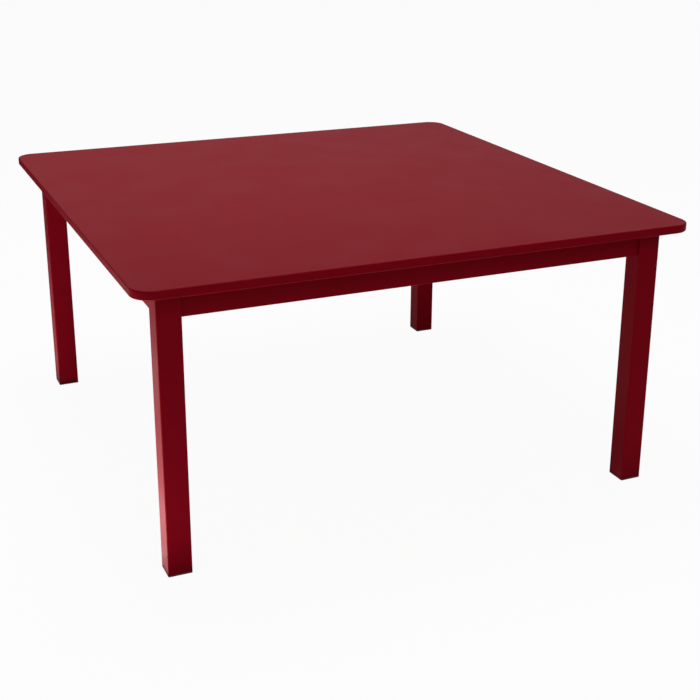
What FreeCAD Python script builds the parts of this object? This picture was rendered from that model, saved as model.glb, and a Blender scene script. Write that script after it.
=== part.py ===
# Square garden table in powder-coated steel, made of the pieces that it comes apart into on a bench.
# Millimetres, +Z up, origin on the floor under the middle of the top. The front is -Y and the left is -X.
import FreeCAD, Part
import math
import os

from FreeCAD import Vector

# Whole table
TABLE_HEIGHT = 740.0
TOP_SIDE = 1465.0
LEG_INSET = 60.0  # from the edge of the top to the outer faces of the legs

# Top panel: one sheet, folded down at its edge and in again as a hem
TOP_SHEET = 1.5
TOP_EDGE_DEPTH = 22.0
TOP_CORNER_RADIUS = 50.0
TOP_FOLD_INSIDE = 2.5
TOP_HEM = 16.0

# Rails: rectangular tube, welded up against the sheet
RAIL_HEIGHT = 90.0
RAIL_WIDTH = 30.0
RAIL_WALL = 1.5
RAIL_INSIDE_RADIUS = 1.0
RAIL_RECESS = 8.0  # from the outer faces of the legs to those of the rails
RAIL_END_GAP = 0.5  # between the end of a rail and the leg
RAIL_END_PLATE = 2.0

# Stiffeners: hat sections, welded under the sheet between the front and back rails
STIFFENER_COUNT = 4
STIFFENER_SHEET = 1.2
STIFFENER_CROWN = 40.0
STIFFENER_DEPTH = 28.0
STIFFENER_FLANGE = 20.0
STIFFENER_FOLD_INSIDE = 1.8
STIFFENER_END_GAP = 0.3

# Legs: square tube with a cap in the top
LEG_SIZE = 60.0
LEG_WALL = 2.0
LEG_INSIDE_RADIUS = 1.5
LEG_TOP_GAP = 0.5  # between a leg and the sheet
LEG_CAP = 3.0
WELD_FIT = 0.1  # round a plate that is welded into the end of a tube

# Lugs: plates on the legs that lie on the inner faces of the rails
LUG_LENGTH = 70.0
LUG_HEIGHT = 66.0
LUG_THICKNESS = 5.0
LUG_CORNER_RADIUS = 12.0

# Bolts through the lugs into plates with tapped holes inside the rails
BOLT_DIAMETER = 8.0
BOLT_LENGTH = 20.0
BOLT_HEAD_FLATS = 13.0
BOLT_HEAD_HEIGHT = 5.3
BOLT_CHAMFER = 1.0
BOLT_SETBACK = 42.0  # from the face of the leg to the bolts
BOLT_SPACING = 36.0
BOLT_HOLE_CLEARANCE = 0.5
THREAD_CLEARANCE = 0.05
WASHER_DIAMETER = 16.0
WASHER_THICKNESS = 1.6
WASHER_HOLE_CLEARANCE = 0.2
NUT_PLATE_LENGTH = 30.0
NUT_PLATE_HEIGHT = 62.0
NUT_PLATE_THICKNESS = 6.0

# Foot inserts: plastic plugs in the legs, with a flange under the tube
INSERT_FLANGE = 3.0
INSERT_DEPTH = 30.0
INSERT_FIT = 0.2
INSERT_WALL = 2.5
INSERT_RIB = 2.5
INSERT_FLOOR = 4.0
INSERT_BOSS_DIAMETER = 22.0

# Levelling glides: a pad on a threaded stem, seated in the insert when screwed right in
GLIDE_PAD_DIAMETER = 38.0
GLIDE_PAD_THICKNESS = 6.0
GLIDE_PAD_PROUD = 1.5  # of the insert's flange, when screwed right in
GLIDE_PAD_EDGE_RADIUS = 1.0
GLIDE_PAD_NOTCHES = 6
GLIDE_PAD_NOTCH_RADIUS = 2.0
GLIDE_RIM_GAP = 0.5
GLIDE_SEAT_GAP = 0.2
GLIDE_STEM_DIAMETER = 10.0
GLIDE_STEM_ROOT = 3.0  # moulded into the pad
GLIDE_STEM_CLEARANCE = 0.08
GLIDE_STEM_CHAMFER = 1.0
GLIDE_TRAVEL = 12.0
GLIDE_ENGAGEMENT = 25.0  # thread still held when the glide is right out

# Places worked out from the sizes above
SHEET_UNDERSIDE = TABLE_HEIGHT - TOP_SHEET
LEG_OUTER = TOP_SIDE / 2 - LEG_INSET
LEG_INNER = LEG_OUTER - LEG_SIZE
LEG_BORE = LEG_SIZE - 2 * LEG_WALL
LEG_BOTTOM = GLIDE_PAD_PROUD + INSERT_FLANGE
LEG_TOP = SHEET_UNDERSIDE - LEG_TOP_GAP
RAIL_OUTER = LEG_OUTER - RAIL_RECESS
RAIL_INNER = RAIL_OUTER - RAIL_WIDTH
RAIL_END = LEG_INNER - RAIL_END_GAP
RAIL_MIDDLE = SHEET_UNDERSIDE - RAIL_HEIGHT / 2
GLIDE_SEAT = GLIDE_PAD_THICKNESS + GLIDE_SEAT_GAP
GLIDE_STEM_TOP = GLIDE_PAD_THICKNESS + GLIDE_TRAVEL + GLIDE_ENGAGEMENT

# Names in turning order: each is a quarter turn on from the one before
CORNERS = ("front_left", "front_right", "back_right", "back_left")
SIDES = ("front", "right", "back", "left")

UP = Vector(0, 0, 1)
ALONG_X = Vector(1, 0, 0)
ALONG_Y = Vector(0, 1, 0)
SAME_PLACE = 1e-6
SAME_WAY = 0.999  # cosine of the angle between two directions


def edges_along(shape, direction, places=None):
    """Straight edges along a direction, all of them or only those through the given places across it."""
    found = []
    for edge in shape.Edges:
        ends = [vertex.Point for vertex in edge.Vertexes]
        if len(ends) != 2 or not isinstance(edge.Curve, Part.Line):
            continue
        run = (ends[1] - ends[0]).normalize()
        if abs(run.dot(direction)) < SAME_WAY:
            continue
        across = ends[0] - direction * ends[0].dot(direction)
        if places is None or any((across - place).Length < SAME_PLACE for place in places):
            found.append(edge)
    return found


def edges_at_height(shape, height):
    """Every edge that lies flat at one height."""
    return [
        edge
        for edge in shape.Edges
        if abs(edge.BoundBox.ZMin - height) < SAME_PLACE and abs(edge.BoundBox.ZMax - height) < SAME_PLACE
    ]


def block(size_x, size_y, size_z, bottom=0.0):
    """Box centred on the Z axis."""
    return Part.makeBox(size_x, size_y, size_z, Vector(-size_x / 2, -size_y / 2, bottom))


def rounded_block(size_x, size_y, size_z, radius, bottom=0.0):
    """Box centred on the Z axis, with rounded upright edges."""
    box = block(size_x, size_y, size_z, bottom)
    return box.makeFillet(radius, edges_along(box, UP))


def tube(size_x, size_y, length, wall, inside_radius, bottom=0.0):
    """Upright rectangular tube."""
    outside = rounded_block(size_x, size_y, length, inside_radius + wall, bottom)
    bore = rounded_block(size_x - 2 * wall, size_y - 2 * wall, length, inside_radius, bottom)
    return outside.cut(bore)


def tube_plate(bore_x, bore_y, thickness, bore_radius, bottom=0.0):
    """Plate that fits in the end of a rectangular tube."""
    return rounded_block(bore_x - 2 * WELD_FIT, bore_y - 2 * WELD_FIT, thickness, bore_radius, bottom)


def moved(shape, x, y, z):
    """Copy of a shape, moved."""
    return shape.translated(Vector(x, y, z))


def turned(shape, quarter_turns):
    """Copy of a piece made for the front, or for the front left corner, turned about the table's middle."""
    return shape.rotated(Vector(), UP, 90 * quarter_turns)


def at_rail_end(shape, side, far_end):
    """Copy of a piece made for the left end of the front rail, at either end of any rail."""
    if far_end:
        shape = shape.mirror(Vector(), ALONG_X)
    return turned(shape, side)


def lying_along_x(shape):
    """Upright piece laid down along X: its X stays level across the rail, its Y stands up."""
    return shape.rotated(Vector(), UP, 90).rotated(Vector(), ALONG_Y, 90)


def facing_inwards(shape):
    """Piece made along Z, laid down so that its top points to the back."""
    return shape.rotated(Vector(), ALONG_X, -90)


def make_top_panel():
    """Folded tray: sheet, edge all round and the hem at the foot of the edge."""
    bottom = TABLE_HEIGHT - TOP_EDGE_DEPTH
    outside_fold = TOP_FOLD_INSIDE + TOP_SHEET
    outside = rounded_block(TOP_SIDE, TOP_SIDE, TOP_EDGE_DEPTH, TOP_CORNER_RADIUS, bottom)
    folds = edges_at_height(outside, TABLE_HEIGHT) + edges_at_height(outside, bottom)
    outside = outside.makeFillet(outside_fold, folds)

    hollow_side = TOP_SIDE - 2 * TOP_SHEET
    hollow_depth = TOP_EDGE_DEPTH - 2 * TOP_SHEET
    hollow_bottom = bottom + TOP_SHEET
    hollow_radius = TOP_CORNER_RADIUS - TOP_SHEET
    hollow = rounded_block(hollow_side, hollow_side, hollow_depth, hollow_radius, hollow_bottom)
    folds = edges_at_height(hollow, SHEET_UNDERSIDE) + edges_at_height(hollow, hollow_bottom)
    hollow = hollow.makeFillet(TOP_FOLD_INSIDE, folds)

    mouth_side = TOP_SIDE - 2 * TOP_HEM
    mouth_radius = max(TOP_CORNER_RADIUS - TOP_HEM, TOP_SHEET)
    mouth = rounded_block(mouth_side, mouth_side, 2 * TOP_SHEET, mouth_radius, bottom)
    return outside.cut(hollow).cut(mouth)


def bolt_heights():
    """Heights of the lower and the upper bolt of a lug."""
    return (RAIL_MIDDLE - BOLT_SPACING / 2, RAIL_MIDDLE + BOLT_SPACING / 2)


def bolt_holes(radius, length, y):
    """Round cutters on the bolts' axes at the left end of the front rail, from y towards the back."""
    holes = facing_inwards(Part.makeCylinder(radius, length))
    return Part.makeCompound([moved(holes, BOLT_SETBACK - LEG_INNER, y, z) for z in bolt_heights()])


def make_front_rail():
    """Tube along X with the bolt holes in its inner wall."""
    rail = tube(RAIL_WIDTH, RAIL_HEIGHT, 2 * RAIL_END, RAIL_WALL, RAIL_INSIDE_RADIUS, -RAIL_END)
    rail = moved(lying_along_x(rail), 0, RAIL_WIDTH / 2 - RAIL_OUTER, RAIL_MIDDLE)
    radius = BOLT_DIAMETER / 2 + BOLT_HOLE_CLEARANCE
    holes = bolt_holes(radius, RAIL_WALL, -RAIL_INNER - RAIL_WALL)
    return rail.cut(holes).cut(at_rail_end(holes, 0, True))


def make_end_plate():
    """Plate in the left end of the front rail."""
    bore_x = RAIL_WIDTH - 2 * RAIL_WALL
    bore_y = RAIL_HEIGHT - 2 * RAIL_WALL
    plate = tube_plate(bore_x, bore_y, RAIL_END_PLATE, RAIL_INSIDE_RADIUS)
    return moved(lying_along_x(plate), -RAIL_END, RAIL_WIDTH / 2 - RAIL_OUTER, RAIL_MIDDLE)


def make_lug():
    """Plate from the front left leg along the inner face of the front rail."""
    corner = Vector(-LEG_INNER, -RAIL_INNER, RAIL_MIDDLE - LUG_HEIGHT / 2)
    plate = Part.makeBox(LUG_LENGTH, LUG_THICKNESS, LUG_HEIGHT, corner)
    free_end = LUG_LENGTH - LEG_INNER
    corners = [Vector(free_end, 0, corner.z), Vector(free_end, 0, corner.z + LUG_HEIGHT)]
    plate = plate.makeFillet(LUG_CORNER_RADIUS, edges_along(plate, ALONG_Y, corners))
    return plate.cut(bolt_holes(BOLT_DIAMETER / 2 + BOLT_HOLE_CLEARANCE, LUG_THICKNESS, -RAIL_INNER))


def make_nut_plate():
    """Plate with tapped holes, inside the front rail at its left end."""
    plate = block(NUT_PLATE_LENGTH, NUT_PLATE_THICKNESS, NUT_PLATE_HEIGHT)
    inner_y = -RAIL_INNER - RAIL_WALL
    plate = moved(
        plate,
        BOLT_SETBACK - LEG_INNER,
        inner_y - NUT_PLATE_THICKNESS / 2,
        RAIL_MIDDLE - NUT_PLATE_HEIGHT / 2,
    )
    radius = BOLT_DIAMETER / 2 + THREAD_CLEARANCE
    return plate.cut(bolt_holes(radius, NUT_PLATE_THICKNESS, inner_y - NUT_PLATE_THICKNESS))


def hex_bolt():
    """Bolt along Z with the underside of its head at the origin."""
    across_corners = BOLT_HEAD_FLATS / math.cos(math.pi / 6)
    corners = [
        Vector(across_corners / 2 * math.cos(angle), across_corners / 2 * math.sin(angle), 0)
        for angle in (k * math.pi / 3 for k in range(7))
    ]
    head = Part.Face(Part.makePolygon(corners)).extrude(UP * BOLT_HEAD_HEIGHT)
    crown = Part.makeCylinder(across_corners / 2, BOLT_HEAD_HEIGHT)
    corner_relief = (across_corners - BOLT_HEAD_FLATS) / 2
    crown = crown.makeChamfer(corner_relief, edges_at_height(crown, BOLT_HEAD_HEIGHT))
    shank = Part.makeCylinder(BOLT_DIAMETER / 2, BOLT_LENGTH, Vector(0, 0, -BOLT_LENGTH))
    shank = shank.makeChamfer(BOLT_CHAMFER, edges_at_height(shank, -BOLT_LENGTH))
    return head.common(crown).fuse(shank).removeSplitter()


def washer():
    """Washer along Z, standing on the origin."""
    disc = Part.makeCylinder(WASHER_DIAMETER / 2, WASHER_THICKNESS)
    return disc.cut(Part.makeCylinder(BOLT_DIAMETER / 2 + WASHER_HOLE_CLEARANCE, WASHER_THICKNESS))


def on_lug(shape, stand_off):
    """The two copies of a fastener on the lug at the left end of the front rail."""
    laid = facing_inwards(shape)
    y = LUG_THICKNESS + stand_off - RAIL_INNER
    return [moved(laid, BOLT_SETBACK - LEG_INNER, y, z) for z in bolt_heights()]


def make_stiffener():
    """Hat section along Y under the sheet, open side up."""
    length = 2 * (RAIL_INNER - STIFFENER_END_GAP)
    inside_width = STIFFENER_CROWN - 2 * STIFFENER_SHEET
    channel = block(STIFFENER_CROWN, length, STIFFENER_DEPTH, -STIFFENER_DEPTH)
    flanges = block(STIFFENER_CROWN + 2 * STIFFENER_FLANGE, length, STIFFENER_SHEET, -STIFFENER_SHEET)
    hollow = block(inside_width, length, STIFFENER_DEPTH, STIFFENER_SHEET - STIFFENER_DEPTH)
    hat = channel.fuse(flanges).cut(hollow).removeSplitter()

    outside_fold = STIFFENER_FOLD_INSIDE + STIFFENER_SHEET
    half_outside = STIFFENER_CROWN / 2
    half_inside = inside_width / 2
    outside_edges = []
    inside_edges = []
    for side in (-1, 1):
        outside_edges += [
            Vector(side * half_outside, 0, -STIFFENER_DEPTH),
            Vector(side * half_inside, 0, 0),
        ]
        inside_edges += [
            Vector(side * half_inside, 0, STIFFENER_SHEET - STIFFENER_DEPTH),
            Vector(side * half_outside, 0, -STIFFENER_SHEET),
        ]
    hat = hat.makeFillet(outside_fold, edges_along(hat, ALONG_Y, outside_edges))
    hat = hat.makeFillet(STIFFENER_FOLD_INSIDE, edges_along(hat, ALONG_Y, inside_edges))
    return moved(hat, 0, 0, SHEET_UNDERSIDE)


def stiffener_places():
    """X of each stiffener, evenly spread between the left and right rails."""
    bay = 2 * RAIL_INNER / (STIFFENER_COUNT + 1)
    return [bay * (k + 1) - RAIL_INNER for k in range(STIFFENER_COUNT)]


def at_leg(shape):
    """Copy of an upright piece made on the Z axis, moved to the front left leg."""
    middle = LEG_SIZE / 2 - LEG_OUTER
    return moved(shape, middle, middle, 0)


def make_leg():
    """Square tube from the insert's flange up to the sheet."""
    return at_leg(tube(LEG_SIZE, LEG_SIZE, LEG_TOP - LEG_BOTTOM, LEG_WALL, LEG_INSIDE_RADIUS, LEG_BOTTOM))


def make_leg_cap():
    """Plate in the top of the leg."""
    return at_leg(tube_plate(LEG_BORE, LEG_BORE, LEG_CAP, LEG_INSIDE_RADIUS, LEG_TOP - LEG_CAP))


def make_foot_insert():
    """Plug with a flange, a ribbed hollow, a threaded boss and a seat for the glide's pad."""
    plug_side = LEG_BORE - 2 * INSERT_FIT
    top = LEG_BOTTOM + INSERT_DEPTH
    flange = rounded_block(LEG_SIZE, LEG_SIZE, INSERT_FLANGE, LEG_INSIDE_RADIUS + LEG_WALL, GLIDE_PAD_PROUD)
    plug = rounded_block(plug_side, plug_side, INSERT_DEPTH, LEG_INSIDE_RADIUS, LEG_BOTTOM)

    hollow_side = plug_side - 2 * INSERT_WALL
    hollow_bottom = GLIDE_SEAT + INSERT_FLOOR
    hollow_depth = top - hollow_bottom
    hollow = block(hollow_side, hollow_side, hollow_depth, hollow_bottom)
    hollow = hollow.cut(block(hollow_side, INSERT_RIB, hollow_depth, hollow_bottom))
    hollow = hollow.cut(block(INSERT_RIB, hollow_side, hollow_depth, hollow_bottom))
    boss = Part.makeCylinder(INSERT_BOSS_DIAMETER / 2, hollow_depth, Vector(0, 0, hollow_bottom))
    hollow = hollow.cut(boss)

    seat = Part.makeCylinder(GLIDE_PAD_DIAMETER / 2 + GLIDE_RIM_GAP, GLIDE_SEAT)
    thread = Part.makeCylinder(GLIDE_STEM_DIAMETER / 2 + GLIDE_STEM_CLEARANCE, top)
    return at_leg(flange.fuse(plug).removeSplitter().cut(hollow).cut(seat).cut(thread))


def make_glide_pad():
    """Round pad on the floor, with finger notches round its rim and a socket for the stem."""
    radius = GLIDE_PAD_DIAMETER / 2
    pad = Part.makeCylinder(radius, GLIDE_PAD_THICKNESS)
    pad = pad.makeFillet(GLIDE_PAD_EDGE_RADIUS, edges_at_height(pad, 0))
    for k in range(GLIDE_PAD_NOTCHES):
        notch = Part.makeCylinder(GLIDE_PAD_NOTCH_RADIUS, GLIDE_PAD_THICKNESS, Vector(radius, 0, 0))
        pad = pad.cut(notch.rotated(Vector(), UP, 360 * k / GLIDE_PAD_NOTCHES))
    socket_bottom = Vector(0, 0, GLIDE_PAD_THICKNESS - GLIDE_STEM_ROOT)
    socket = Part.makeCylinder(GLIDE_STEM_DIAMETER / 2 + THREAD_CLEARANCE, GLIDE_STEM_ROOT, socket_bottom)
    return at_leg(pad.cut(socket))


def make_glide_stem():
    """Threaded stem from the pad's socket up through the insert's boss."""
    bottom = GLIDE_PAD_THICKNESS - GLIDE_STEM_ROOT
    stem = Part.makeCylinder(GLIDE_STEM_DIAMETER / 2, GLIDE_STEM_TOP - bottom, Vector(0, 0, bottom))
    return at_leg(stem.makeChamfer(GLIDE_STEM_CHAMFER, edges_at_height(stem, GLIDE_STEM_TOP)))


def corner_pieces():
    """Leg, cap, insert and glide at each corner, by node name."""
    made = {
        "leg": make_leg(),
        "leg_cap": make_leg_cap(),
        "foot_insert": make_foot_insert(),
        "glide_pad": make_glide_pad(),
        "glide_stem": make_glide_stem(),
    }
    return {
        f"{corner}_{name}": turned(shape, k)
        for k, corner in enumerate(CORNERS)
        for name, shape in made.items()
    }


def rail_pieces():
    """Rails, their end plates, and the lugs and nut plates at both ends of each, by node name."""
    rail = make_front_rail()
    end_plate = make_end_plate()
    lug = make_lug()
    nut_plate = make_nut_plate()
    pieces = {}
    nut_plates = {corner: [] for corner in CORNERS}
    for k, side in enumerate(SIDES):
        pieces[f"{side}_rail"] = turned(rail, k)
        end_plates = [at_rail_end(end_plate, k, far_end) for far_end in (False, True)]
        pieces[f"{side}_rail_end_plates"] = Part.makeCompound(end_plates)
        for far_end in (False, True):
            corner = CORNERS[(k + far_end) % len(CORNERS)]
            pieces[f"{corner}_lug_on_{side}_rail"] = at_rail_end(lug, k, far_end)
            nut_plates[corner].append(at_rail_end(nut_plate, k, far_end))
    for corner, plates in nut_plates.items():
        pieces[f"{corner}_nut_plates"] = Part.makeCompound(plates)
    return pieces


def fasteners():
    """All the bolts as one group and all the washers as another."""
    groups = {"leg_bolts": on_lug(hex_bolt(), WASHER_THICKNESS), "leg_washers": on_lug(washer(), 0.0)}
    rail_ends = [(k, far_end) for k in range(len(SIDES)) for far_end in (False, True)]
    return {
        name: Part.makeCompound([at_rail_end(shape, *rail_end) for rail_end in rail_ends for shape in pair])
        for name, pair in groups.items()
    }


def stiffeners():
    """Stiffeners from left to right, by node name."""
    hat = make_stiffener()
    return {f"stiffener_{k + 1}": moved(hat, x, 0, 0) for k, x in enumerate(stiffener_places())}


def main():
    """Builds every piece and writes one file per node."""
    pieces = {"top_panel": make_top_panel()}
    pieces.update(stiffeners())
    pieces.update(rail_pieces())
    pieces.update(corner_pieces())
    pieces.update(fasteners())
    os.makedirs("parts", exist_ok=True)
    for name, shape in pieces.items():
        shape.exportStep(f"parts/{name}.step")


main()
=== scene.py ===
"""Looks of a square steel garden table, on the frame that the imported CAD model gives.

Every CAD node gets its finish here. The sheet and tube pieces are made again with
smoothly rounded folds, and what a plain solid leaves out is added: weld beads, spot
weld marks and the threads of the glides' stems. A pale studio and the camera close the file.
"""

from __future__ import annotations

import logging
import math
from collections.abc import Iterator, Mapping, Sequence
from dataclasses import dataclass
from enum import Enum
from typing import Any

import bmesh
import bpy
from mathutils import Matrix, Vector


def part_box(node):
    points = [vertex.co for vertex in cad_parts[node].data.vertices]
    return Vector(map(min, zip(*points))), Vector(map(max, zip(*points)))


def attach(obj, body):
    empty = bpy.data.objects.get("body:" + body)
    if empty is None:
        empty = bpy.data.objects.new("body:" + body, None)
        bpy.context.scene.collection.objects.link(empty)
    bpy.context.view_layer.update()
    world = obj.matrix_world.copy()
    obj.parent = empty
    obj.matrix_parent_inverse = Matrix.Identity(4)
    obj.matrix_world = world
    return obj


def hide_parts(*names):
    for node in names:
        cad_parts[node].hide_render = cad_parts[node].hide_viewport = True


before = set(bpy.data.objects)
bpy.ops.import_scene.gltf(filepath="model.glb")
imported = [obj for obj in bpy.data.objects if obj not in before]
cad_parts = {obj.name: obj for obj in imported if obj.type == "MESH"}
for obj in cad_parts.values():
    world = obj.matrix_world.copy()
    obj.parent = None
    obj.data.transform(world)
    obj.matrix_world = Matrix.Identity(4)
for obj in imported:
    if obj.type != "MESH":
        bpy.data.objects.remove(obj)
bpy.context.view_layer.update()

LOG = logging.getLogger("garden_table")
ROOT_BODY = "table"

SHARP_ANGLE = math.radians(38.0)  # edges sharper than this stay crisp
MEAN = 0.5  # of a noise pattern, stretched or not
WHITE = (1.0, 1.0, 1.0, 1.0)

Colour = tuple[int, int, int]
Shade = tuple[float, float, float, float]
Point = tuple[float, float]
Range = tuple[float, float]
Triple = tuple[float, float, float]
Ring = list[Vector]


class Slot(Enum):
    """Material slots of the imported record."""

    POWDER_COAT = "red_powder_coat"
    ZINC = "zinc_plated_steel"
    PLASTIC = "black_plastic"


class Corner(Enum):
    """The table's corners, as the signs of x and y there."""

    FRONT_LEFT = (-1, -1)
    FRONT_RIGHT = (1, -1)
    BACK_RIGHT = (1, 1)
    BACK_LEFT = (-1, 1)

    @property
    def label(self) -> str:
        """The corner's name as the CAD nodes spell it."""
        return self.name.lower()

    @property
    def sides(self) -> tuple[Side, Side]:
        """The two sides that meet at this corner."""
        x, y = self.value
        return Side((x, 0)), Side((0, y))


class Side(Enum):
    """The table's sides, as the outward direction in x and y."""

    FRONT = (0, -1)
    RIGHT = (1, 0)
    BACK = (0, 1)
    LEFT = (-1, 0)

    @property
    def label(self) -> str:
        """The side's name as the CAD nodes spell it."""
        return self.name.lower()

    @property
    def outward(self) -> Vector:
        """Unit vector that points out of the table on this side."""
        return Vector((*self.value, 0.0))

    @property
    def along(self) -> Vector:
        """Unit vector that runs along this side."""
        return Vector((abs(self.value[1]), abs(self.value[0]), 0.0))


def linear(colour: Colour, share: float = 1.0) -> Shade:
    """Turns a colour as a screen shows it into linear light, by the standard screen curve.

    Args:
        colour: Red, green and blue from 0 to 255.
        share: Factor on the linear light, for lighter and darker shades of one colour.

    Returns:
        Linear red, green and blue with full alpha.
    """
    red, green, blue = (
        share * (v / 12.92 if v <= 0.04045 else ((v + 0.055) / 1.055) ** 2.4)
        for v in (channel / 255.0 for channel in colour)
    )
    return red, green, blue, 1.0


class Signal:
    """An output socket of a shader graph, with Python's arithmetic on its value."""

    def __init__(self, graph: Graph, node: bpy.types.Node, output: int | str) -> None:
        """Keeps the graph, the node and which of its outputs this is."""
        self.graph, self.node, self.output = graph, node, output

    @property
    def socket(self) -> bpy.types.NodeSocket:
        """The socket that links start from."""
        return self.node.outputs[self.output]

    def _math(self, operation: str, first: Signal | float, second: Signal | float) -> Signal:
        """Adds the Math node that joins two terms.

        Args:
            operation: Name of the Math node's operation.
            first: Left term.
            second: Right term.

        Returns:
            The node's value.
        """
        return self.graph.node("ShaderNodeMath", {"operation": operation}, {0: first, 1: second})

    def __add__(self, other: Signal | float) -> Signal:
        """Sum of both."""
        return self._math("ADD", self, other)

    def __radd__(self, other: float) -> Signal:
        """Sum, with the number first."""
        return self._math("ADD", other, self)

    def __sub__(self, other: Signal | float) -> Signal:
        """Difference of both."""
        return self._math("SUBTRACT", self, other)

    def __rsub__(self, other: float) -> Signal:
        """Difference, with the number first."""
        return self._math("SUBTRACT", other, self)

    def __mul__(self, other: Signal | float) -> Signal:
        """Product of both."""
        return self._math("MULTIPLY", self, other)

    def __rmul__(self, other: float) -> Signal:
        """Product, with the number first."""
        return self._math("MULTIPLY", other, self)

    def at_least(self, other: Signal | float) -> Signal:
        """The larger of both."""
        return self._math("MAXIMUM", self, other)


class Graph:
    """Node tree of one material or of the world."""

    def __init__(self, tree: bpy.types.NodeTree) -> None:
        """Empties a tree for new nodes."""
        tree.nodes.clear()
        self.tree = tree

    def node(
        self,
        kind: str,
        settings: Mapping[str, Any] | None = None,
        inputs: Mapping[int | str, Any] | None = None,
        output: int | str = 0,
    ) -> Signal:
        """Adds a node.

        Args:
            kind: Blender's name of the node type.
            settings: The node's own settings, set before its sockets.
            inputs: Values or signals for the sockets, by name or place.
            output: The output that the signal stands for.

        Returns:
            That output.
        """
        made = self.tree.nodes.new(kind)
        for name, value in (settings or {}).items():
            setattr(made, name, value)
        for name, value in (inputs or {}).items():
            if isinstance(value, Signal):
                self.tree.links.new(value.socket, made.inputs[name])
            else:
                made.inputs[name].default_value = value
        return Signal(self, made, output)

    def noise(
        self, width: float, detail: float, stretch: Sequence[float] = (1.0, 1.0, 1.0)
    ) -> Signal:
        """Adds a soft random pattern that sticks to the piece.

        Args:
            width: Width of its spots in metres.
            detail: Number of finer layers on top.
            stretch: How many times closer the spots lie along x, y and z.

        Returns:
            Value around MEAN.
        """
        place = self.node("ShaderNodeTexCoord", output="Object")
        spread = self.node("ShaderNodeMapping", {}, {"Vector": place, "Scale": stretch})
        sockets = {"Vector": spread, "Scale": 1.0 / width, "Detail": detail}
        return self.node("ShaderNodeTexNoise", {}, sockets)

    def ramp(self, value: Signal, low: float, high: float) -> Signal:
        """Stretches a value so that low becomes 0 and high becomes 1."""
        return self.node("ShaderNodeMapRange", {}, {0: value, 1: low, 2: high})

    def mix(self, share: Signal, first: Sequence[float], second: Sequence[float]) -> Signal:
        """Goes from the first colour to the second as share goes from 0 to 1."""
        # A Mix node's colours are its sockets 6 and 7, and its mixed colour is output 2.
        return self.node("ShaderNodeMix", {"data_type": "RGBA"}, {0: share, 6: first, 7: second}, 2)

    def bump(self, height: Signal) -> Signal:
        """Turns a height in metres into a normal."""
        return self.node("ShaderNodeBump", {}, {"Distance": 1.0, "Height": height}, "Normal")

    def end(self, surface: Signal, kind: str = "ShaderNodeOutputMaterial") -> None:
        """Links a shader to the tree's output."""
        self.node(kind, {}, {"Surface": surface})


def blank_material(name: str) -> tuple[bpy.types.Material, Graph]:
    """Makes a material with nothing in its graph.

    Args:
        name: Name of the material.

    Returns:
        The material and its graph.
    """
    made = bpy.data.materials.new(name)
    made.use_nodes = True
    return made, Graph(made.node_tree)


@dataclass(frozen=True)
class Finish:
    """What every finish of the table has.

    Attributes:
        name: Name of its material.
        slot: The record's slot that it belongs to; not used.
        colour: Its colour as a screen shows it.
        roughness: Mean roughness.
        specular: Level of its clear reflection, one half being plain gloss.
    """

    name: str
    slot: Slot
    colour: Colour
    roughness: float
    specular: float

    def sockets(self, graph: Graph) -> dict[str, Any]:
        """Gives the shader's sockets their values or signals."""
        raise NotImplementedError

    def material(self) -> bpy.types.Material:
        """Makes the material, or finds it where it was made before.

        Returns:
            The finish's only material.
        """
        made = bpy.data.materials.get(self.name)
        if made is None:
            made, graph = blank_material(self.name)
            sockets = {"Specular IOR Level": self.specular, **self.sockets(graph)}
            graph.end(graph.node("ShaderNodeBsdfPrincipled", {}, sockets))
        return made


@dataclass(frozen=True)
class PowderCoat(Finish):
    """Baked powder paint: even colour, fine grit and a faint orange peel.

    Attributes:
        peel_width: Width of the orange peel's spots.
        peel_height: Height of its relief.
        peel_shade: How much of the colour's spread it takes.
        grit_width: Width of the grit's grains.
        grit_height: Height of their relief.
        grit_shade: How much of the colour's spread they take.
        grit_gloss: How much of the gloss's spread they take.
        drift_width: Width of the slow drift in colour and gloss.
        drift_shade: How much of the colour's spread it takes.
        colour_spread: How far the colour goes lighter and darker.
        gloss_spread: How far the roughness goes up and down.
    """

    peel_width: float = 0.0022
    peel_height: float = 0.000014
    peel_shade: float = 0.3
    grit_width: float = 0.00045
    grit_height: float = 0.000005
    grit_shade: float = 0.9
    grit_gloss: float = 0.6
    drift_width: float = 0.14
    drift_shade: float = 0.5
    colour_spread: float = 0.05
    gloss_spread: float = 0.10

    def sockets(self, graph: Graph) -> dict[str, Any]:
        """Colour, gloss and relief of the paint.

        Args:
            graph: Graph of the material.

        Returns:
            Sockets of the shader.
        """
        peel = graph.noise(self.peel_width, detail=1.0) - MEAN
        grit = graph.noise(self.grit_width, detail=2.0) - MEAN
        drift = graph.noise(self.drift_width, detail=3.0) - MEAN
        shade = MEAN + drift * self.drift_shade + grit * self.grit_shade + peel * self.peel_shade
        low, high = 1.0 - self.colour_spread, 1.0 + self.colour_spread
        return {
            "Base Color": graph.mix(shade, linear(self.colour, low), linear(self.colour, high)),
            "Roughness": self.roughness + (drift + grit * self.grit_gloss) * self.gloss_spread,
            "Normal": graph.bump(peel * self.peel_height + grit * self.grit_height),
        }


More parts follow.
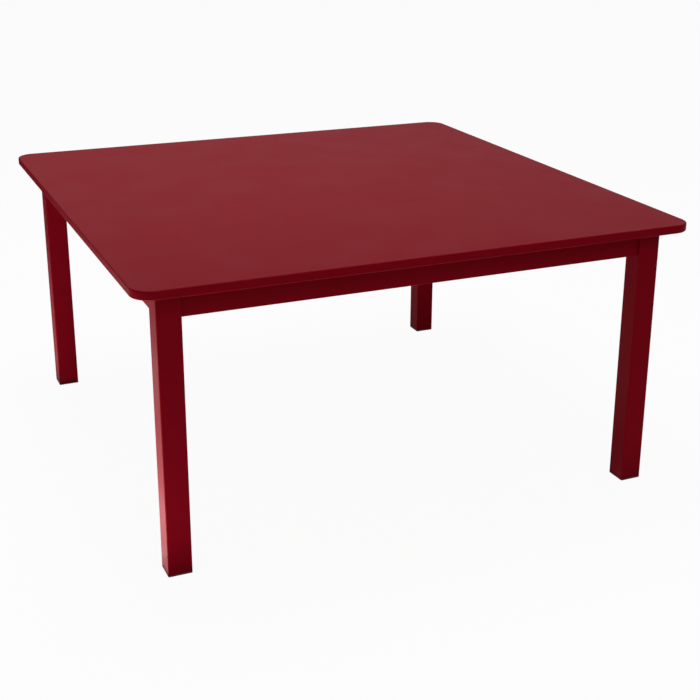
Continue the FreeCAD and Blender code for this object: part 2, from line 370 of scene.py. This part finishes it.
@dataclass(frozen=True)
class ZincPlate(Finish):
    """Bright zinc on steel, with faint drawn lines and cloudy passivation.

    Attributes:
        tint: Colour of the clouds.
        cloud_width: Width of the clouds.
        cloud_range: Values of their noise where a cloud starts and where it is full.
        cloud_gloss: How much rougher a full cloud is than bare zinc.
        line_width: Width of the drawn lines.
        line_stretch: How the noise is drawn out into lines.
        line_height: Height of their relief.
        line_gloss: How far they spread the roughness.
    """

    tint: Colour = (176, 170, 150)
    cloud_width: float = 0.006
    cloud_range: Range = (0.35, 0.65)
    cloud_gloss: float = 0.14
    line_width: float = 0.0003
    line_stretch: Triple = (0.12, 0.12, 1.0)
    line_height: float = 0.000002
    line_gloss: float = 0.12

    def sockets(self, graph: Graph) -> dict[str, Any]:
        """Colour, gloss and relief of the plating.

        Args:
            graph: Graph of the material.

        Returns:
            Sockets of the shader.
        """
        cloud = graph.ramp(graph.noise(self.cloud_width, detail=3.0), *self.cloud_range)
        lines = graph.noise(self.line_width, detail=1.0, stretch=self.line_stretch) - MEAN
        uneven = (cloud - MEAN) * self.cloud_gloss + lines * self.line_gloss
        return {
            "Base Color": graph.mix(cloud, linear(self.colour), linear(self.tint)),
            "Metallic": 1.0,
            "Roughness": self.roughness + uneven,
            "Normal": graph.bump(lines * self.line_height),
        }


@dataclass(frozen=True)
class MouldedPlastic(Finish):
    """Dark moulded plastic with an eroded grain and scuffed high spots.

    Attributes:
        grain_width: Width of the grain.
        grain_height: Height of its relief.
        grain_gloss: How far it spreads the roughness.
        scuff: Colour of the scuffs.
        scuff_width: Width of the scuffs.
        scuff_grain: How much the grain breaks their edges up.
        scuff_range: Values of their noise where a scuff starts and where it is full.
        scuff_gloss: How much rougher a full scuff is.
    """

    grain_width: float = 0.0007
    grain_height: float = 0.00003
    grain_gloss: float = 0.2
    scuff: Colour = (62, 61, 60)
    scuff_width: float = 0.012
    scuff_grain: float = 0.2
    scuff_range: Range = (0.62, 0.78)
    scuff_gloss: float = 0.18

    def sockets(self, graph: Graph) -> dict[str, Any]:
        """Colour, gloss and relief of the moulding.

        Args:
            graph: Graph of the material.

        Returns:
            Sockets of the shader.
        """
        grain = graph.noise(self.grain_width, detail=2.0)
        patches = graph.noise(self.scuff_width, detail=4.0) + grain * self.scuff_grain
        scuffs = graph.ramp(patches, *self.scuff_range)
        uneven = scuffs * self.scuff_gloss + (grain - MEAN) * self.grain_gloss
        return {
            "Base Color": graph.mix(scuffs, linear(self.colour), linear(self.scuff)),
            "Roughness": self.roughness + uneven,
            "Normal": graph.bump(grain * self.grain_height),
        }


RED_PAINT = PowderCoat(
    name="deep_red_powder_coat",
    slot=Slot.POWDER_COAT,
    colour=(124, 3, 20),
    roughness=0.50,
    specular=0.022,
)
ZINC = ZincPlate(
    name="zinc_plating",
    slot=Slot.ZINC,
    colour=(196, 199, 203),
    roughness=0.34,
    specular=0.5,
)
BLACK_PLASTIC = MouldedPlastic(
    name="black_moulding",
    slot=Slot.PLASTIC,
    colour=(21, 21, 22),
    roughness=0.52,
    specular=0.35,
)


def dress(finish: Finish, *nodes: str) -> None:
    """Gives CAD nodes a finish through their objects' material slots.

    Args:
        finish: The finish that they get.
        *nodes: Names of the nodes.
    """
    for node in nodes:
        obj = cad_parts[node]
        if not obj.material_slots:
            obj.data.materials.append(None)
        for slot in obj.material_slots:
            slot.material = finish.material()
        LOG.info("dressed %s in %s", node, finish.name)


def rounded_loop(half_x: float, half_y: float, radius: float, steps: int) -> list[Point]:
    """Points round a rectangle with rounded corners, anticlockwise.

    Args:
        half_x: Half of its width.
        half_y: Half of its height.
        radius: Radius of its corners.
        steps: Chords in each corner.

    Returns:
        The points, about the rectangle's middle.
    """
    points = []
    for quarter, (x, y) in enumerate(((1, 1), (-1, 1), (-1, -1), (1, -1))):
        for step in range(steps + 1):
            angle = math.pi / 2 * (quarter + step / steps)
            points.append((
                x * (half_x - radius) + radius * math.cos(angle),
                y * (half_y - radius) + radius * math.sin(angle),
            ))
    return points


def arc(middle: Point, radius: float, start: float, end: float, steps: int) -> list[Point]:
    """Points of an arc in a plane, both ends included.

    Args:
        middle: Centre of the arc.
        radius: Its radius.
        start: First angle in degrees.
        end: Last angle in degrees.
        steps: Number of chords.

    Returns:
        The points from start to end.
    """
    angles = (math.radians(start + (end - start) * step / steps) for step in range(steps + 1))
    return [(middle[0] + radius * math.cos(a), middle[1] + radius * math.sin(a)) for a in angles]


class Skin:
    """A mesh in the making, sewn from rings of points."""

    def __init__(self) -> None:
        """Starts with no points."""
        self.mesh = bmesh.new()

    def loft(self, rings: Sequence[Ring], capped: bool = False, looped: bool = False) -> None:
        """Sews rings of equal length together, one after the other.

        Args:
            rings: The rings in order.
            capped: Closes the first and last ring with a face.
            looped: Joins the last ring to the first.
        """
        sewn = [[self.mesh.verts.new(point) for point in ring] for ring in rings]
        pairs = list(zip(sewn, sewn[1:])) + ([(sewn[-1], sewn[0])] if looped else [])
        for first, second in pairs:
            for i in range(len(first)):
                self.mesh.faces.new((first[i - 1], first[i], second[i], second[i - 1]))
        if capped:
            self.mesh.faces.new(sewn[0])
            self.mesh.faces.new(sewn[-1])

    def piece(self, name: str, body: str, finish: Finish, *nodes: str) -> None:
        """Makes the mesh a piece of the table.

        Args:
            name: Name of the piece.
            body: The body that it rides on.
            finish: Its finish.
            *nodes: The CAD nodes that it replaces.
        """
        bmesh.ops.recalc_face_normals(self.mesh, faces=self.mesh.faces[:])
        data = bpy.data.meshes.new(name)
        self.mesh.to_mesh(data)
        self.mesh.free()
        data.shade_smooth()
        data.set_sharp_from_angle(angle=SHARP_ANGLE)
        data.materials.append(finish.material())
        obj = bpy.data.objects.new(name, data)
        bpy.context.scene.collection.objects.link(obj)
        even = obj.modifiers.new("even_shading", "WEIGHTED_NORMAL")
        even.keep_sharp = True
        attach(obj, body)
        if nodes:
            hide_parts(*nodes)
        LOG.info("built %s on %s, %d faces", name, body, len(data.polygons))


@dataclass
class TopPanel:
    """The folded sheet that is the table top, its edge and its hem.

    Attributes:
        corner_radius: Radius of its corners, seen from above.
        sheet: Thickness of the sheet.
        fold_inside: Inside radius of its folds.
        hem: How far the hem reaches in from the edge.
        hem_edge: Width of the broken edges of the cut.
        corner_steps: Chords in each corner.
        fold_steps: Chords in each fold.
    """

    corner_radius: float = 0.050
    sheet: float = 0.0015
    fold_inside: float = 0.0025
    hem: float = 0.016
    hem_edge: float = 0.0003
    corner_steps: int = 28
    fold_steps: int = 7

    def section(self, bottom: float, top: float) -> list[Point]:
        """Line of the sheet's surface from the top face round to its underside.

        Args:
            bottom: Height of the hem's lower face.
            top: Height of the top face.

        Returns:
            Distance in from the table's edge, and height, of each point.
        """
        inside, outside = self.fold_inside, self.fold_inside + self.sheet
        upper, lower = (outside, top - outside), (outside, bottom + outside)
        return [
            *arc(upper, outside, 90, 180, self.fold_steps),
            *arc(lower, outside, 180, 270, self.fold_steps),
            (self.hem - self.hem_edge, bottom),
            (self.hem, bottom + self.hem_edge),
            (self.hem, bottom + self.sheet - self.hem_edge),
            (self.hem - self.hem_edge, bottom + self.sheet),
            *arc(lower, inside, 270, 180, self.fold_steps),
            *arc(upper, inside, 180, 90, self.fold_steps),
        ]

    def build(self) -> None:
        """Makes the panel in place of its CAD node."""
        low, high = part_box("top_panel")
        half = (high.x - low.x) / 2
        rings = []
        for inset, height in self.section(low.z, high.z):
            reach, radius = half - inset, self.corner_radius - inset
            loop = rounded_loop(reach, reach, radius, self.corner_steps)
            rings.append([Vector((x, y, height)) for x, y in loop])
        skin = Skin()
        skin.loft(rings, capped=True)
        skin.piece("top_sheet", ROOT_BODY, RED_PAINT, "top_panel")


@dataclass(frozen=True)
class TubeStock:
    """Rectangular steel tube as it comes from the mill.

    Attributes:
        wall: Thickness of its wall.
        inside_radius: Inside radius of its corners.
        cut_edge: Width of the broken edges of its cut ends.
        corner_steps: Chords in each corner.
    """

    wall: float
    inside_radius: float
    cut_edge: float = 0.0003
    corner_steps: int = 8

    def rings(self, low: Vector, high: Vector) -> list[Ring]:
        """Rings round the skin of a length of tube, outside and then inside.

        Args:
            low: Lowest corner of its box.
            high: Highest corner of its box.

        Returns:
            Rings to sew into a closed loop.
        """
        along = max(range(3), key=lambda axis: high[axis] - low[axis])
        first, second = ((1, 2), (2, 0), (0, 1))[along]
        middle, half = (low + high) / 2, (high - low) / 2
        start, end, cut = low[along], high[along], self.cut_edge
        rings = []
        for inset, place in (
            (cut, start), (0.0, start + cut), (0.0, end - cut), (cut, end),
            (self.wall, end), (self.wall, start),
        ):
            radius = self.inside_radius + self.wall - inset
            across, up = half[first] - inset, half[second] - inset
            ring = []
            for a, b in rounded_loop(across, up, radius, self.corner_steps):
                point = middle.copy()
                point[along] = place
                point[first] += a
                point[second] += b
                ring.append(point)
            rings.append(ring)
        return rings


@dataclass(frozen=True)
class WeldBead:
    """A run of weld in the corner between two faces, with the ripples of its making.

    Attributes:
        start: Where the run starts, in the corner.
        end: Where it ends.
        first: Direction along the first face, away from the corner.
        second: Direction along the second face, away from the corner.
        size: How far the bead reaches along each face.
        ripple: Length of one ripple.
        ripple_steps: Rings in each ripple.
        least_steps: Rings in the shortest run, less one.
        swell: Height of the ripples, as a share of the size.
        lag: How far they lag at the middle of the bead's face, in ripples.
        crown: How far that middle bulges, as a share of the size.
        taper: Length of each tapered end, in sizes.
        tip: Share of the size that is left at the ends.
        sink: How deep the bead's back lies in the metal.
        arc_steps: Chords across the bead's face.
    """

    start: Vector
    end: Vector
    first: Vector
    second: Vector
    size: float = 0.0042
    ripple: float = 0.0021
    ripple_steps: int = 5
    least_steps: int = 8
    swell: float = 0.07
    lag: float = 0.45
    crown: float = 0.16
    taper: float = 1.2
    tip: float = 0.18
    sink: float = 0.0004
    arc_steps: int = 7

    def rings(self) -> list[Ring]:
        """Rings across the run.

        Returns:
            The rings from one tapered end to the other.
        """
        run = self.end - self.start
        length = run.length
        count = max(self.least_steps, round(length / self.ripple * self.ripple_steps))
        shares = (step / count for step in range(count + 1))
        return [self._ring(self.start + run * share, share * length, length) for share in shares]

    def _ring(self, place: Vector, done: float, length: float) -> Ring:
        """One ring across the run.

        Args:
            place: Point of the corner that it goes round.
            done: Distance from the start.
            length: Length of the whole run.

        Returns:
            Points across the bead's face and one behind it, in the metal.
        """
        thinned = 1.0 - min(1.0, min(done, length - done) / (self.taper * self.size))
        full = self.tip + (1.0 - self.tip) * math.sqrt(1.0 - thinned**2)
        ring = [place - (self.first + self.second) * self.sink]
        for step in range(self.arc_steps + 1):
            share = step / self.arc_steps
            middle = 4.0 * share * (1.0 - share)
            wave = math.cos(math.tau * (done / self.ripple + self.lag * middle))
            reach = self.size * full * (1.0 + self.swell * wave * middle)
            bulge = self.crown * middle
            ring.append(
                place
                + self.first * (reach * (1.0 - share + bulge) - self.sink * (share == 1.0))
                + self.second * (reach * (share + bulge) - self.sink * (share == 0.0))
            )
        return ring


@dataclass
class RailFrame:
    """Four tube rails under the sheet, their end plates and their stitch welds.

    Attributes:
        stock: The rails' tube.
        stitch_length: Length of a stitch weld.
        stitch_places: Where the stitches are, along a rail from its middle.
    """

    stock: TubeStock = TubeStock(wall=0.0015, inside_radius=0.001)
    stitch_length: float = 0.045
    stitch_places: tuple[float, ...] = (-0.505, -0.255, 0.0, 0.255, 0.505)

    def stitches(self, side: Side) -> Iterator[WeldBead]:
        """Stitch welds between a rail's inner face and the sheet above it.

        Args:
            side: The rail's side.

        Yields:
            One bead per place.
        """
        low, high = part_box(f"{side.label}_rail")
        middle = (low + high) / 2
        inner = abs(middle.dot(side.outward)) - min(high.x - low.x, high.y - low.y) / 2
        corner = side.outward * inner + Vector((0.0, 0.0, high.z))
        for place in self.stitch_places:
            half = side.along * self.stitch_length / 2
            at = corner + side.along * place
            yield WeldBead(at - half, at + half, -side.outward, Vector((0, 0, -1)))

    def build(self) -> None:
        """Makes the rails, dresses their end plates and lays the welds."""
        welds = Skin()
        for side in Side:
            rail = f"{side.label}_rail"
            skin = Skin()
            skin.loft(self.stock.rings(*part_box(rail)), looped=True)
            skin.piece(f"{rail}_tube", ROOT_BODY, RED_PAINT, rail)
            dress(RED_PAINT, f"{rail}_end_plates")
            for bead in self.stitches(side):
                welds.loft(bead.rings(), capped=True)
        welds.piece("rail_stitch_welds", ROOT_BODY, RED_PAINT)


@dataclass
class Stiffeners:
    """Hat sections under the sheet, with their welds.

    Attributes:
        count: How many there are.
        sheet: Thickness of their sheet.
        fold_inside: Inside radius of their folds.
        crown: Width of the crown over both webs.
        fold_steps: Chords in each fold.
        mark_pitch: Distance from one spot weld to the next.
        mark_section: Radius and height of each ring of a spot weld's mark.
        mark_steps: Chords round a mark.
        end_weld_length: Length of the beads at a hat's ends.
        end_weld_size: How far those beads reach along each face.
    """

    count: int = 4
    sheet: float = 0.0012
    fold_inside: float = 0.0018
    crown: float = 0.040
    fold_steps: int = 6
    mark_pitch: float = 0.084
    mark_section: tuple[Point, ...] = (
        (0.0007, 0.00004), (0.0020, 0.00005), (0.0026, 0.00020), (0.0031, 0.00030),
        (0.0036, 0.00020), (0.0041, -0.00010),
    )
    mark_steps: int = 20
    end_weld_length: float = 0.016
    end_weld_size: float = 0.003

    def section(self, low: Vector, high: Vector) -> list[Point]:
        """Closed line round the hat's sheet, flanges up against the table's sheet.

        Args:
            low: Lowest corner of the hat's box.
            high: Highest corner of its box.

        Returns:
            Points across and up, about the hat's middle and from its crown.
        """
        inside, outside, steps = self.fold_inside, self.fold_inside + self.sheet, self.fold_steps
        wide, deep, crown = (high.x - low.x) / 2, high.z - low.z, self.crown / 2
        web = crown - self.sheet
        half = [
            *arc((crown - outside, outside), outside, 270, 360, steps),
            *arc((crown + inside, deep - self.sheet - inside), inside, 180, 90, steps),
            (wide, deep - self.sheet),
            (wide, deep),
            *arc((web + outside, deep - outside), outside, 90, 180, steps),
            *arc((web - inside, self.sheet + inside), inside, 360, 270, steps),
        ]
        return half + [(-across, up) for across, up in reversed(half)]

    def spot_mark(self, middle: Vector) -> list[Ring]:
        """Rings of the small raised ring that a spot welder leaves.

        Args:
            middle: Its middle, on a face that looks down.

        Returns:
            Rings from the inside out.
        """
        turns = [math.tau * step / self.mark_steps for step in range(self.mark_steps)]
        return [
            [middle + Vector((radius * math.cos(t), radius * math.sin(t), -height)) for t in turns]
            for radius, height in self.mark_section
        ]

    def build(self) -> None:
        """Makes the hats, their spot marks and the beads at their ends."""
        marks, welds = Skin(), Skin()
        for number in range(1, self.count + 1):
            node = f"stiffener_{number}"
            low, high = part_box(node)
            middle = (low.x + high.x) / 2
            line = self.section(low, high)
            ends = [
                [Vector((middle + x, y, low.z + z)) for x, z in line] for y in (low.y, high.y)
            ]
            skin = Skin()
            skin.loft(ends, capped=True)
            skin.piece(f"{node}_hat", ROOT_BODY, RED_PAINT, node)
            self._weld(marks, welds, low, high)
        marks.piece("stiffener_spot_weld_marks", ROOT_BODY, RED_PAINT)
        welds.piece("stiffener_end_welds", ROOT_BODY, RED_PAINT)

    def _weld(self, marks: Skin, welds: Skin, low: Vector, high: Vector) -> None:
        """Adds one hat's spot marks and end beads.

        Args:
            marks: Mesh of the spot marks.
            welds: Mesh of the beads.
            low: Lowest corner of the hat's box.
            high: Highest corner of its box.
        """
        middle, crown = (low.x + high.x) / 2, self.crown / 2
        flange = (crown + (high.x - low.x) / 2) / 2 + self.fold_inside / 2
        count = round((high.y - low.y) / self.mark_pitch)
        half = Vector((0.0, 0.0, self.end_weld_length / 2))
        for sign in (-1, 1):
            outward = Vector((sign, 0, 0))
            for step in range(count):
                y = low.y + (high.y - low.y) * (step + 0.5) / count
                spot = Vector((middle + sign * flange, y, high.z - self.sheet))
                marks.loft(self.spot_mark(spot), capped=True)
            for y, inward in ((low.y, Vector((0, 1, 0))), (high.y, Vector((0, -1, 0)))):
                foot = Vector((middle + sign * crown, y, (low.z + high.z) / 2))
                bead = WeldBead(foot - half, foot + half, outward, inward, self.end_weld_size)
                welds.loft(bead.rings(), capped=True)


@dataclass
class Legs:
    """Four square tube legs with their caps and the lugs welded to them.

    Attributes:
        stock: The legs' tube.
        weld_margin: What a lug's weld leaves free at each end.
        weld_size: How far that weld reaches along each face.
    """

    stock: TubeStock = TubeStock(wall=0.002, inside_radius=0.0015)
    weld_margin: float = 0.004
    weld_size: float = 0.0045

    def lug_weld(self, corner: Corner, side: Side) -> WeldBead:
        """Bead between a lug's inner face and the leg that carries it.

        Args:
            corner: The leg's corner.
            side: Side of the rail that the lug lies on.

        Returns:
            An upright bead.
        """
        low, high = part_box(f"{corner.label}_lug_on_{side.label}_rail")
        leg_low, leg_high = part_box(f"{corner.label}_leg")
        x, y = corner.value
        from_leg = side.along * -(side.along.dot(Vector((x, y, 0.0))))
        reach = min(abs(leg_low.dot(side.along)), abs(leg_high.dot(side.along)))
        lug_face = min(abs(low.dot(side.outward)), abs(high.dot(side.outward)))
        foot = -from_leg * reach + side.outward * lug_face
        bottom = Vector((0.0, 0.0, low.z + self.weld_margin))
        top = Vector((0.0, 0.0, high.z - self.weld_margin))
        return WeldBead(foot + bottom, foot + top, from_leg, -side.outward, self.weld_size)

    def build(self) -> None:
        """Makes the legs, dresses caps and lugs and lays the lugs' welds."""
        welds = Skin()
        for corner in Corner:
            leg = f"{corner.label}_leg"
            skin = Skin()
            skin.loft(self.stock.rings(*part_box(leg)), looped=True)
            skin.piece(f"{leg}_tube", ROOT_BODY, RED_PAINT, leg)
            dress(RED_PAINT, f"{leg}_cap")
            for side in corner.sides:
                dress(RED_PAINT, f"{corner.label}_lug_on_{side.label}_rail")
                welds.loft(self.lug_weld(corner, side).rings(), capped=True)
        welds.piece("lug_welds", ROOT_BODY, RED_PAINT)


@dataclass
class Fixings:
    """Bolts, washers and nut plates that hold the legs to the rails."""

    def build(self) -> None:
        """Dresses the fixings in zinc."""
        dress(ZINC, "leg_bolts", "leg_washers")
        dress(ZINC, *(f"{corner.label}_nut_plates" for corner in Corner))


@dataclass
class Feet:
    """Plastic inserts in the legs and the levelling glides that screw into them.

    Attributes:
        pitch: Pitch of the stems' threads.
        thread_depth: Depth of the threads.
        thread_crest: Share of each half pitch that is flat crest.
        thread_flank: Share of each half pitch that is flank.
        end_bevel: Bevel at the stems' ends.
        turn_steps: Chords round a stem.
        pitch_steps: Rings in each pitch.
    """

    pitch: float = 0.0015
    thread_depth: float = 0.00092
    thread_crest: float = 0.125
    thread_flank: float = 0.625
    end_bevel: float = 0.0012
    turn_steps: int = 28
    pitch_steps: int = 8

    def thread_cut(self, turns: float) -> float:
        """How deep the thread is cut at a place along its pitch.

        Args:
            turns: Distance along the thread in pitches.

        Returns:
            Depth below the crest in metres.
        """
        share = abs(2.0 * (turns % 1.0) - 1.0)
        down = (share - self.thread_crest) / self.thread_flank
        return self.thread_depth * min(1.0, max(0.0, down))

    def stem(self, low: Vector, high: Vector) -> list[Ring]:
        """Rings of a threaded stem, from its lower end up.

        Args:
            low: Lowest corner of the stem's box.
            high: Highest corner of its box.

        Returns:
            Rings of points on the thread.
        """
        middle, radius = (low + high) / 2, (high.x - low.x) / 2
        count = round((high.z - low.z) / self.pitch * self.pitch_steps)
        rings = []
        for level in range(count + 1):
            z = low.z + (high.z - low.z) * level / count
            bevel = max(0.0, self.end_bevel - min(z - low.z, high.z - z))
            ring = []
            for step in range(self.turn_steps):
                turn = step / self.turn_steps
                cut = self.thread_cut((z - low.z) / self.pitch - turn)
                reach, angle = radius - max(cut, bevel), math.tau * turn
                x = middle.x + reach * math.cos(angle)
                y = middle.y + reach * math.sin(angle)
                ring.append(Vector((x, y, z)))
            rings.append(ring)
        return rings

    def build(self) -> None:
        """Makes the threaded stems and dresses inserts and pads."""
        for corner in Corner:
            stem = f"{corner.label}_glide_stem"
            skin = Skin()
            skin.loft(self.stem(*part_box(stem)), capped=True)
            skin.piece(f"{stem}_thread", f"{corner.label}_glide", ZINC, stem)
            dress(BLACK_PLASTIC, f"{corner.label}_foot_insert", f"{corner.label}_glide_pad")


@dataclass(frozen=True)
class SoftLamp:
    """A flat, soft lamp of the studio.

    Attributes:
        name: Name of its object.
        place: Where its middle is.
        aim: The point that it looks at.
        light: Its power in watts.
        size: Width and height of its panel.
    """

    name: str
    place: Triple
    aim: Triple
    light: float
    size: Point

    def build(self) -> None:
        """Puts the lamp up, out of the camera's sight."""
        data = bpy.data.lights.new(self.name, "AREA")
        data.energy = self.light
        data.shape = "RECTANGLE"
        data.size, data.size_y = self.size
        lamp = bpy.data.objects.new(self.name, data)
        bpy.context.scene.collection.objects.link(lamp)
        lamp.location = self.place
        look = Vector(self.aim) - Vector(self.place)
        lamp.rotation_euler = look.to_track_quat("-Z", "Y").to_euler()
        lamp.visible_camera = False
        LOG.info("lit %s", self.name)


@dataclass
class Studio:
    """Pale floor, white surroundings and soft light.

    Attributes:
        floor_radius: Radius of the floor.
        floor_segments: Sides of its outline.
        floor_colour: Its matt colour.
        floor_white: Share of plain white in what the camera sees of it.
        sky: Light of the surroundings, which look white.
        card_left: Where the dark card starts along x.
        card_right: Where it ends.
        card_back: Where it stands along y.
        card_height: How high it is.
        card_colour: Its colour.
        lamps: The lamps.
    """

    floor_radius: float = 60.0
    floor_segments: int = 96
    floor_colour: Shade = (0.86, 0.86, 0.86, 1.0)
    floor_white: float = 0.95
    sky: float = 0.27
    card_left: float = -2.2
    card_right: float = -0.85
    card_back: float = 2.0
    card_height: float = 0.9
    card_colour: Shade = (0.01, 0.01, 0.01, 1.0)
    lamps: tuple[SoftLamp, ...] = (
        SoftLamp("overhead", (-0.25, 0.30, 3.3), (-0.25, 0.30, 0.0), 42.5, (1.6, 1.6)),
        SoftLamp("front_high", (0.4, -3.6, 2.9), (0.0, -0.5, 0.4), 22.5, (3.0, 1.2)),
        SoftLamp("back_left", (-1.6, 2.6, 2.4), (-0.3, 0.3, 0.7), 9.0, (1.6, 1.2)),
        SoftLamp("front_low", (-0.45, -2.0, 0.02), (-0.45, -0.9, 0.5), 1.8, (1.2, 0.8)),
        SoftLamp("near_floor", (-0.05, -0.90, 0.012), (-0.05, -0.90, 1.0), 0.8, (1.8, 0.20)),
        SoftLamp("near_left_floor", (-1.22, -0.56, 0.012), (-1.22, -0.56, 1.0), 11.0, (0.9, 0.52)),
        SoftLamp("far_left_floor", (-0.94, 0.62, 0.012), (-0.94, 0.62, 1.0), 2.2, (0.36, 0.42)),
        SoftLamp("under_floor", (0.32, 0.10, 0.012), (0.32, 0.10, 1.0), 0.9, (0.5, 0.8)),
        SoftLamp("near_foot", (-0.69, -0.60, 0.006), (-0.69, -0.60, 1.0), 0.035, (0.03, 0.14)),
        SoftLamp("far_left_foot", (-0.6425, 0.5, 0.006), (-0.6425, 0.5, 1.0), 0.055, (0.12, 0.20)),
        SoftLamp("right_foot", (0.51, -0.68, 0.006), (0.51, -0.68, 1.0), 0.025, (0.20, 0.10)),
        SoftLamp("left_glow", (-0.815, -0.12, 0.027), (-0.8025, -0.1685, 1.027), 1.4, (0.14, 0.95)),
    )

    @staticmethod
    def seen(graph: Graph) -> Signal:
        """Tells rays that show the studio from rays that light it.

        Args:
            graph: Graph that asks.

        Returns:
            1 where a ray comes from the camera or off gloss or glass, else 0.
        """
        camera, gloss, glass = (
            graph.node("ShaderNodeLightPath", output=f"Is {kind} Ray")
            for kind in ("Camera", "Glossy", "Transmission")
        )
        return camera.at_least(gloss).at_least(glass)

    @staticmethod
    def put(name: str, mesh: bmesh.types.BMesh, paint: bpy.types.Material) -> bpy.types.Object:
        """Puts a mesh into the studio, as no part of the table.

        Args:
            name: Name of the new object.
            mesh: Its mesh, which is used up.
            paint: Its material.

        Returns:
            The object.
        """
        data = bpy.data.meshes.new(name)
        mesh.to_mesh(data)
        mesh.free()
        data.materials.append(paint)
        obj = bpy.data.objects.new(name, data)
        bpy.context.scene.collection.objects.link(obj)
        return obj

    def build_floor(self) -> None:
        """Lays the floor, which reads white from above and is open from below."""
        mesh = bmesh.new()
        bmesh.ops.create_circle(
            mesh, cap_ends=True, segments=self.floor_segments, radius=self.floor_radius
        )
        paint, graph = blank_material("pale_floor")
        matt = graph.node("ShaderNodeBsdfDiffuse", {}, {"Color": self.floor_colour})
        white = graph.node("ShaderNodeEmission", {}, {"Color": WHITE, "Strength": 1.0})
        share = self.seen(graph) * self.floor_white
        above = graph.node("ShaderNodeMixShader", {}, {0: share, 1: matt, 2: white})
        below = graph.node("ShaderNodeBsdfTransparent")
        under = graph.node("ShaderNodeNewGeometry", output="Backfacing")
        graph.end(graph.node("ShaderNodeMixShader", {}, {0: under, 1: above, 2: below}))
        self.put("floor", mesh, paint)

    def build_card(self) -> None:
        """Stands a dark card at the back left, out of sight, for the left faces to mirror."""
        left, right, top = self.card_left, self.card_right, self.card_height
        corners = ((left, 0.0), (right, 0.0), (right, top), (left, top))
        mesh = bmesh.new()
        mesh.faces.new([mesh.verts.new((x, self.card_back, z)) for x, z in corners])
        paint, graph = blank_material("dark_card")
        graph.end(graph.node("ShaderNodeBsdfDiffuse", {}, {"Color": self.card_colour}))
        self.put("dark_card", mesh, paint).visible_camera = False

    def build_sky(self) -> None:
        """Gives the world its even light and its white look."""
        world = bpy.data.worlds.new("white_room")
        bpy.context.scene.world = world
        world.use_nodes = True
        graph = Graph(world.node_tree)
        strength = self.sky + self.seen(graph) * (1.0 - self.sky)
        sky = graph.node("ShaderNodeBackground", {}, {"Color": WHITE, "Strength": strength})
        graph.end(sky, "ShaderNodeOutputWorld")

    def build(self) -> None:
        """Sets up floor, card, surroundings and lamps."""
        self.build_floor()
        self.build_card()
        self.build_sky()
        for lamp in self.lamps:
            lamp.build()


@dataclass
class PhotoCamera:
    """The camera at the photograph's place, from the perspective of the table's edges.

    Attributes:
        place: Where it stands.
        azimuth: How far round from the table's front it stands, in radians.
        elevation: How far down it looks, in radians.
        roll: How far it is tilted about its view, in radians.
        lens: Focal length in millimetres.
        sensor: Width of its sensor in millimetres.
        shift: How far the picture is shifted, in picture widths.
    """

    place: Triple = (-1.34089, -3.30972, 1.62366)
    azimuth: float = -0.42307
    elevation: float = 0.33844
    roll: float = 0.00866
    lens: float = 66.30
    sensor: float = 36.0
    shift: Point = (-0.02857, -0.05714)

    def build(self) -> None:
        """Makes the camera and gives it to the scene."""
        data = bpy.data.cameras.new("photo_camera")
        data.lens, data.sensor_width = self.lens, self.sensor
        data.shift_x, data.shift_y = self.shift
        camera = bpy.data.objects.new("photo_camera", data)
        bpy.context.scene.collection.objects.link(camera)
        flat, rise = math.cos(self.elevation), math.sin(self.elevation)
        back = Vector((math.sin(self.azimuth) * flat, -math.cos(self.azimuth) * flat, rise))
        right = Vector((0.0, 0.0, 1.0)).cross(back).normalized()
        level = Matrix((right, back.cross(right), back)).transposed()
        turn = level @ Matrix.Rotation(self.roll, 3, "Z")
        camera.matrix_world = Matrix.Translation(self.place) @ turn.to_4x4()
        bpy.context.scene.camera = camera


def main() -> None:
    """Builds the studio and the table, one sub-assembly after the other."""
    logging.basicConfig(level=logging.INFO, format="%(name)s: %(message)s")
    bpy.context.scene.view_settings.view_transform = "Standard"
    sub_assemblies = (TopPanel(), RailFrame(), Stiffeners(), Legs(), Fixings(), Feet())
    for part in (PhotoCamera(), Studio(), *sub_assemblies):
        part.build()


if __name__ == "__main__":
    main()
